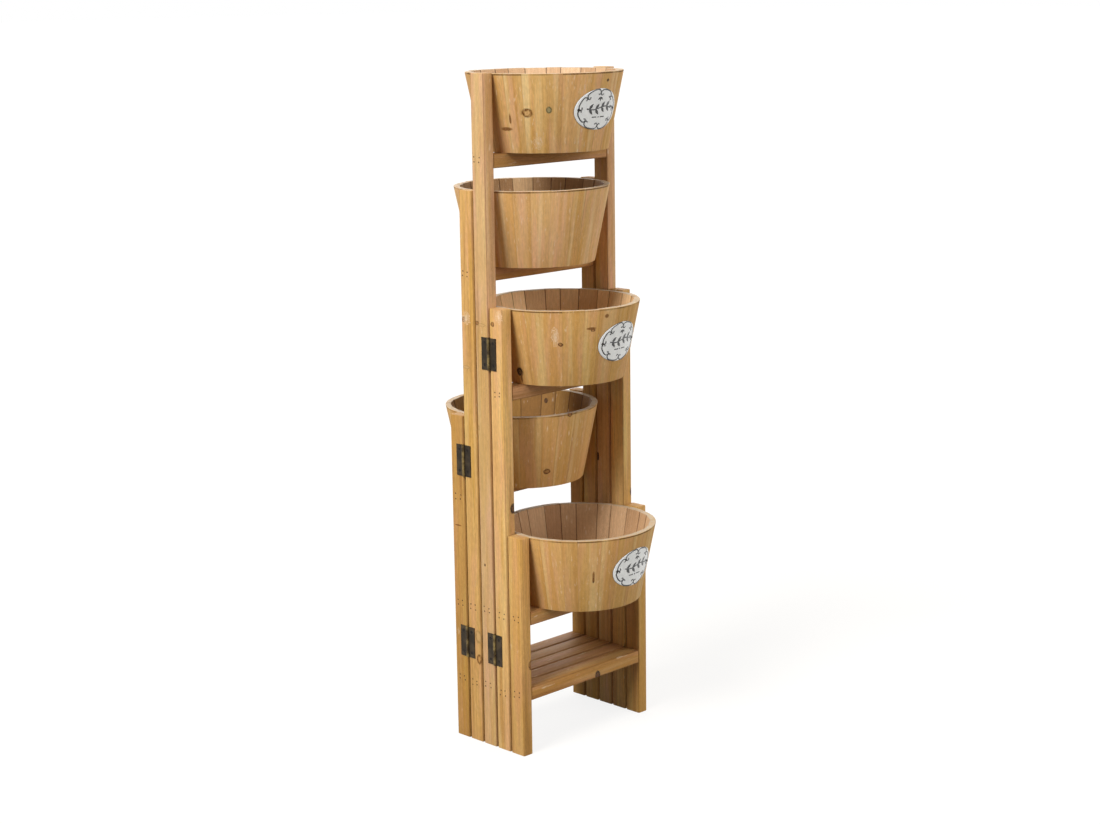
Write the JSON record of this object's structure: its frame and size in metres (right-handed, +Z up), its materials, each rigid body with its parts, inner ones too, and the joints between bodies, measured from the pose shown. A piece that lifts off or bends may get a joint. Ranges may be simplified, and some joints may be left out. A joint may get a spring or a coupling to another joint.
{
  "type": "plant ladder stand",
  "caption": "Folding wooden plant stand of hinged ladder frames that rise to the middle, each holding a tapered stave tub between its post tops.",
  "frame": {"origin": "on the floor, under the middle of the folded stand", "axes": "+X across the stand to the right, +Y from the front frame to the back one, +Z up"},
  "size_m": [0.333, 0.4202, 1.2],
  "materials": {
    "post_pine": "planed and lacquered pine",
    "rung_pine": "planed and lacquered pine",
    "stave_pine": "turned and lacquered pine",
    "tub_floor_pine": "sawn pine",
    "hinge_steel": "bronzed steel",
    "hinge_pin": "worn bronzing",
    "nail_steel": "dull, set below the surface",
    "plate_enamel": "gloss white enamel",
    "plate_line": "gloss black enamel"
  },
  "bodies": {
    "frame1": {"frame1_left_post": "post_pine", "frame1_right_post": "post_pine", "frame1_lower_rung": "rung_pine", "frame1_tub_rung": "rung_pine", "tub1_wall": "stave_pine", "tub1_floor": "tub_floor_pine", "hinge12_lower_front_leaf": "hinge_steel", "hinge12_lower_pin": "hinge_pin", "hinge12_upper_front_leaf": "hinge_steel", "hinge12_upper_pin": "hinge_pin"},
    "frame2": {"frame2_left_post": "post_pine", "frame2_right_post": "post_pine", "frame2_lower_rung": "rung_pine", "frame2_middle_rung": "rung_pine", "frame2_tub_rung": "rung_pine", "tub2_wall": "stave_pine", "tub2_floor": "tub_floor_pine", "hinge12_lower_back_leaf": "hinge_steel", "hinge12_upper_back_leaf": "hinge_steel", "hinge23_lower_front_leaf": "hinge_steel", "hinge23_lower_pin": "hinge_pin", "hinge23_upper_front_leaf": "hinge_steel", "hinge23_upper_pin": "hinge_pin"},
    "frame3": {"frame3_left_post": "post_pine", "frame3_right_post": "post_pine", "frame3_lower_rung": "rung_pine", "frame3_middle_rung": "rung_pine", "frame3_tub_rung": "rung_pine", "tub3_wall": "stave_pine", "tub3_floor": "tub_floor_pine", "hinge23_lower_back_leaf": "hinge_steel", "hinge23_upper_back_leaf": "hinge_steel", "hinge34_lower_front_leaf": "hinge_steel", "hinge34_lower_pin": "hinge_pin", "hinge34_upper_front_leaf": "hinge_steel", "hinge34_upper_pin": "hinge_pin"},
    "frame4": {"frame4_left_post": "post_pine", "frame4_right_post": "post_pine", "frame4_lower_rung": "rung_pine", "frame4_middle_rung": "rung_pine", "frame4_tub_rung": "rung_pine", "tub4_wall": "stave_pine", "tub4_floor": "tub_floor_pine", "hinge34_lower_back_leaf": "hinge_steel", "hinge34_upper_back_leaf": "hinge_steel", "hinge45_lower_front_leaf": "hinge_steel", "hinge45_lower_pin": "hinge_pin", "hinge45_upper_front_leaf": "hinge_steel", "hinge45_upper_pin": "hinge_pin"},
    "frame5": {"frame5_left_post": "post_pine", "frame5_right_post": "post_pine", "frame5_lower_rung": "rung_pine", "frame5_middle_rung": "rung_pine", "frame5_tub_rung": "rung_pine", "tub5_wall": "stave_pine", "tub5_floor": "tub_floor_pine", "hinge45_lower_back_leaf": "hinge_steel", "hinge45_upper_back_leaf": "hinge_steel"}
  },
  "joints": [
    {"name": "frame2_swing", "type": "hinge", "parent": "frame3", "child": "frame2", "pos_m": [-0.1638, -0.01773, 0.184], "axis": [0, 0, -1], "range_deg": [0, 180]},
    {"name": "frame1_swing", "type": "hinge", "parent": "frame2", "child": "frame1", "pos_m": [0.1638, -0.0532, 0.184], "axis": [0, 0, 1], "range_deg": [0, 180]},
    {"name": "frame4_swing", "type": "hinge", "parent": "frame3", "child": "frame4", "pos_m": [0.1638, 0.01773, 0.184], "axis": [0, 0, -1], "range_deg": [0, 180]},
    {"name": "frame5_swing", "type": "hinge", "parent": "frame4", "child": "frame5", "pos_m": [-0.1638, 0.0532, 0.184], "axis": [0, 0, 1], "range_deg": [0, 180]}
  ],
  "couplings": [
    {"joint": "frame1_swing", "follows": "frame5_swing", "ratio": 1}
  ]
}
